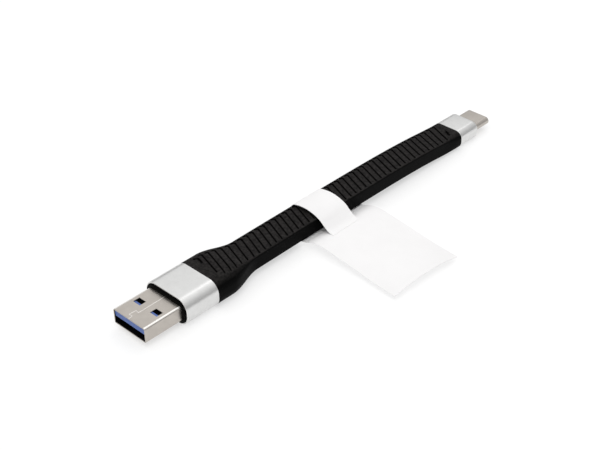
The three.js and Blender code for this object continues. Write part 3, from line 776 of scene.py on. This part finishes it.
def make_a_sleeve():
    """Tube with a fine chamfer cut round its front mouth and a softened rear edge."""
    front, rear, inner_edge = A_SLEEVE[0][0], A_SLEEVE[1][0], 0.05
    profile = [
        (rear, A_SLEEVE_REAR_EDGE), (rear - A_SLEEVE_REAR_EDGE, 0),
        (front + A_SLEEVE_CHAMFER, 0), (front, A_SLEEVE_CHAMFER),
        (front, A_SLEEVE_WALL - inner_edge), (front + inner_edge, A_SLEEVE_WALL), (rear, A_SLEEVE_WALL),
    ]
    rings = [tube_ring(x, A_SLEEVE, A_SLEEVE_RADIUS, inset, 16) for x, inset in profile]
    piece = loft("usb_a_sleeve_satin", rings, True, 30)
    coat_with(piece, SATIN, BRIGHT_CUT_AND_HIGHLIGHT)
    for face in piece.data.polygons:
        normal, x = face.normal, face.center.x / MM
        face.material_index = int(x < front + A_SLEEVE_CHAMFER and 0.3 < -normal.x < 0.95)
    return piece


SEAM_HALF, SEAM_DEPTH, SEAM_PROUD = 0.065, 0.045, 0.03  # the cutter stands proud of the face
SEAM_MITRE = 0.35  # the least cosine used at a corner, so that a sharp one doesn't reach far out
SEAM = [  # from behind the shell to in front of it, with a dovetail near the front
    (-5, 0.05), (-14.2, 0), (-14.05, 1.05), (-15.95, 1.22), (-16.2, 1), (-16, 0.32), (-16.25, 0.04), (-18, 0),
]


def seam_cutter(top):
    """A fine V along the shell's folded seam."""
    wide = SEAM_HALF * (SEAM_DEPTH + SEAM_PROUD) / SEAM_DEPTH
    line = [np.array(p, float) for p in SEAM]
    points, faces = [], []
    for i, p in enumerate(line):
        before = line[i] - line[i - 1] if i else line[1] - line[0]
        after = line[i + 1] - line[i] if i + 1 < len(line) else before
        a, b = before / np.linalg.norm(before), after / np.linalg.norm(after)
        normal = np.array([-a[1] - b[1], a[0] + b[0]])
        normal /= np.linalg.norm(normal)
        reach = wide / max(SEAM_MITRE, normal @ np.array([-a[1], a[0]]))
        left, right = p + normal * reach, p - normal * reach
        points += [(*left, top + SEAM_PROUD), (*right, top + SEAM_PROUD), (*p, top - SEAM_DEPTH)]
    for i in range(len(line) - 1):
        k = 3 * i
        faces += [(k, k + 3, k + 4, k + 1), (k + 1, k + 4, k + 5, k + 2), (k + 2, k + 5, k + 3, k)]
    faces += [(0, 1, 2), (len(points) - 1, len(points) - 2, len(points) - 3)]
    cutter = build("cutter", points, faces)
    # painted highlight: the cutter's faces become the seam's walls, which take the bright metal so that the
    # seam shows as a light line
    coat_with(cutter, NICKEL, BRIGHT_CUT_AND_HIGHLIGHT)
    cutter.data.polygons.foreach_set("material_index", [1] * len(cutter.data.polygons))
    return cutter


def window_cutter():
    """The four windows, two through the top wall and two through the bottom one."""
    x0, beyond = A_SHELL[0][0] + A_WINDOW_FROM_FRONT, 1
    points, faces = [], []
    for side in (-1, 1):
        y0 = side * A_WINDOW_Y - A_WINDOW_WIDTH / 2
        first = len(points)
        for z in (A_SHELL[0][2] - beyond, A_SHELL[1][2] + beyond):
            for x, y in ((0, 0), (1, 0), (1, 1), (0, 1)):
                points.append((x0 + x * A_WINDOW_LENGTH, y0 + y * A_WINDOW_WIDTH, z))
        quads = [(3, 2, 1, 0), (4, 5, 6, 7), (0, 1, 5, 4), (1, 2, 6, 5), (2, 3, 7, 6), (3, 0, 4, 7)]
        faces += [tuple(first + k for k in quad) for quad in quads]
    return build("cutter", points, faces)


def subtract(piece, cutter):
    cut = piece.modifiers.new("cut", "BOOLEAN")
    cut.operation, cut.object, cut.solver = "DIFFERENCE", cutter, "EXACT"
    applied(piece, 35)
    bpy.data.objects.remove(cutter)


def make_a_shell():
    """Folded shell with its windows and seam. Its inner faces take a dark copy of the nickel as painted
    shade, and its rounded long edges and its seam take the bright metal as painted highlights.
    """
    front, rear = A_SHELL[0][0], A_SHELL[1][0]
    profile = [(rear, 0.0)]
    profile += rounded_edge(front, 0, A_SHELL_ROUND, 4, -1)
    profile += [(front, A_SHELL_WALL - A_SHELL_INNER_EDGE), (front + A_SHELL_INNER_EDGE, A_SHELL_WALL)]
    profile += [(rear, A_SHELL_WALL)]
    rings = [tube_ring(x, A_SHELL, A_SHELL_RADIUS, inset, 8) for x, inset in profile]
    piece = loft("usb_a_shell_seamed", rings, True, 35)
    subtract(piece, window_cutter())
    edges = piece.modifiers.new("edges", "BEVEL")
    edges.width, edges.segments = CUT_EDGE * MM, 2
    edges.limit_method, edges.angle_limit = "ANGLE", math.radians(60)
    applied(piece, 35)
    coat_with(piece, NICKEL, BRIGHT_CUT_AND_HIGHLIGHT, SHADED_STEEL_INSIDE)
    subtract(piece, seam_cutter(A_SHELL[1][2]))
    width, height, z = size_of(A_SHELL)
    inside_y, inside_z = (side / 2 - A_SHELL_WALL + 0.02 for side in (width, height))
    for face in piece.data.polygons:
        _, y, rise = face.center / MM - Vector((0, 0, z))
        normal = face.normal
        # painted shade: the shell's inner faces take the dark steel copy
        if abs(y) < inside_y and abs(rise) < inside_z:
            face.material_index = 2
        # painted highlight: the tilted faces of the shell's rounded long edges take the bright metal
        elif abs(y) > width / 2 - A_SHELL_RADIUS and 0.05 < abs(normal.y) < 0.75 and abs(normal.x) < 0.1:
            face.material_index = 1
    weigh_normals(piece)
    return piece


def make_a_mould():
    """The black lip round the shell, and the tail that reaches into the strap."""
    front, tail = A_MOULD[0][0], A_MOULD[1][0]
    gap, step = 0.05, 0.01
    rear = A_SLEEVE[1][0] - 2 * gap
    width, height, z = size_of(A_MOULD)
    board_end = A_SHELL[1][0] + gap
    rings = []
    for x, inset in rounded_edge(front, 0, A_LIP_ROUND, 6, -1)[::-1]:
        rings.append(ring(x, z, outline(width - 2 * inset, height - 2 * inset, A_LIP_RADIUS - inset, 10)))
    rings += [ring(rear, z, outline(width, height, A_LIP_RADIUS, 10))]
    rings += [ring(x, z, outline(*A_MOULD_TAIL, 10)) for x in (rear + step, tail)]
    rings += [ring(x, z, outline(*A_BOARD_SPACE, 10)) for x in (tail, board_end + step)]
    rings += [ring(x, z, outline(*A_SHELL_SPACE, 10)) for x in (board_end, front)]
    return loft("usb_a_lip_mould", rings, True)


a_sleeve = make_a_sleeve()
a_shell = make_a_shell()
a_mould = make_a_mould()
coat_with(a_mould, BLACK)
for piece, node, slot in (
    (a_sleeve, "usb_a_sleeve", "sleeve_aluminium"), (a_shell, "usb_a_shell", "shell_nickel"),
    (a_mould, "usb_a_inner_mould", "mould_black"),
):
    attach(piece, "usb_a_end")
    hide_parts(node)


# ---- USB-C plug ----

OBLONG_STEPS = 14


def oblong(inset):
    """The USB-C shell's outline, drawn in by inset; its sides are all but full half rounds."""
    width, height, _ = size_of(C_SHELL)
    width, height = width - 2 * inset, height - 2 * inset
    return outline(width, height, height / 2 - 0.005, OBLONG_STEPS)


def make_c_shell():
    front, rear = C_SHELL[1][0], C_SHELL[0][0]
    z = size_of(C_SHELL)[2]
    profile = [(rear, 0)] + rounded_edge(front, 0, C_SHELL_ROUND, 6, 1)
    profile += [(front - C_SHELL_INNER_EDGE, C_SHELL_WALL), (rear, C_SHELL_WALL)]
    return loft("usb_c_shell_drawn", [ring(x, z, oblong(inset)) for x, inset in profile], True)


def make_c_sleeve():
    """Cup with a rounded front edge and an oblong mouth for the shell."""
    front, rear, z = C_SLEEVE[1][0], C_SLEEVE[0][0], size_of(C_SLEEVE)[2]
    inner = front - C_SLEEVE_FRONT_WALL
    profile = [(rear, C_SLEEVE_REAR_EDGE), (rear + C_SLEEVE_REAR_EDGE, 0)]
    profile += rounded_edge(front, 0, C_SLEEVE_ROUND, 12, 1)
    rings = [tube_ring(x, C_SLEEVE, C_SLEEVE_RADIUS, inset, OBLONG_STEPS) for x, inset in profile]
    rings += [ring(front, z, oblong(-C_SLEEVE_MOUTH_GAP - C_SLEEVE_MOUTH_EDGE))]
    rings += [ring(x, z, oblong(-C_SLEEVE_MOUTH_GAP)) for x in (front - C_SLEEVE_MOUTH_EDGE, inner)]
    rings += [tube_ring(x, C_SLEEVE, C_SLEEVE_RADIUS, C_SLEEVE_WALL, OBLONG_STEPS) for x in (inner, rear)]
    return loft("usb_c_sleeve_cup", rings, True)


c_sleeve = make_c_sleeve()
coat_with(c_sleeve, SATIN)
c_shell = make_c_shell()
coat_with(c_shell, NICKEL)
for piece, node, slot in (
    (c_sleeve, "usb_c_sleeve", "sleeve_aluminium"), (c_shell, "usb_c_shell", "shell_nickel"),
):
    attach(piece, "usb_c_end")
    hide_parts(node)

# ---- CAD nodes that stay, with their materials ----

NODE_MATERIALS = {
    "usb_a_tongue": BLUE, "usb_a_carrier": BLACK, "usb_a_board": MASK,
    "usb_c_board": MASK, "usb_c_liner": BLACK, "usb_c_contact_holder": BLACK, "usb_c_inner_mould": BLACK,
    "usb_c_latch_plate": NICKEL, "usb_c_ground_spring_top": NICKEL, "usb_c_ground_spring_bottom": NICKEL,
    "usb_c_pullup_resistor": BLACK, "usb_c_capacitor": CERAMIC,
}
for name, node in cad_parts.items():
    material = GOLD if "_contact_" in name and "holder" not in name else NODE_MATERIALS.get(name)
    if material:
        coat_with(node, material)

# ---- floor and light ----

LIGHT_AIM = Vector((0.05, 0, 0))


def add_floor():
    """A pale floor of many quads, so that it is one plain sheet."""
    size, steps = 3.0, 8
    places = np.linspace(-size, size, steps + 1)
    points = [(x, y, 0) for y in places for x in places]
    faces = []
    for i in range(steps):
        for j in range(steps):
            a = i * (steps + 1) + j
            faces.append((a, a + 1, a + steps + 2, a + steps + 1))
    mesh = bpy.data.meshes.new("floor")
    mesh.from_pydata(points, [], faces)
    floor = link("floor", mesh)
    coat_with(floor, floor_material())


def add_area(name, place, size, power):
    """A soft lamp, in metres and watts, that is aimed at the strap's middle."""
    data = bpy.data.lights.new(name, "AREA")
    data.shape, data.size, data.size_y = "RECTANGLE", size[0], size[1]
    data.energy = power
    lamp = bpy.data.objects.new(name, data)
    bpy.context.scene.collection.objects.link(lamp)
    lamp.location = place
    lamp.rotation_euler = (LIGHT_AIM - Vector(place)).to_track_quat("-Z", "Y").to_euler()


def add_world(horizon, middle, zenith):
    """A plain white studio that is brighter overhead than at the horizon."""
    world = bpy.data.worlds.new("studio")
    bpy.context.scene.world = world
    world.use_nodes = True
    tree = world.node_tree
    split = tree.nodes.new("ShaderNodeSeparateXYZ")
    tree.links.new(tree.nodes.new("ShaderNodeTexCoord").outputs["Generated"], split.inputs["Vector"])
    ramp = tree.nodes.new("ShaderNodeValToRGB")
    ramp.color_ramp.elements.new(0.6)
    for element, value in zip(ramp.color_ramp.elements, (horizon, middle, zenith)):
        element.color = (value, value, value, 1)
    tree.links.new(split.outputs["Z"], ramp.inputs["Fac"])
    background = tree.nodes["Background"]
    tree.links.new(ramp.outputs["Color"], background.inputs["Color"])
    background.inputs["Strength"].default_value = 1


add_floor()
add_world(0.35, 0.72, 1.3)
add_area("key", (-0.25, -0.24, 0.78), (0.6, 0.6), 1.65)
add_area("behind", (0.68, 0.62, 0.62), (0.9, 0.6), 0.5)
add_area("highlight", (0.48, 0.17, 0.58), (0.26, 0.26), 0.19)
bpy.context.scene.view_settings.view_transform = "Standard"
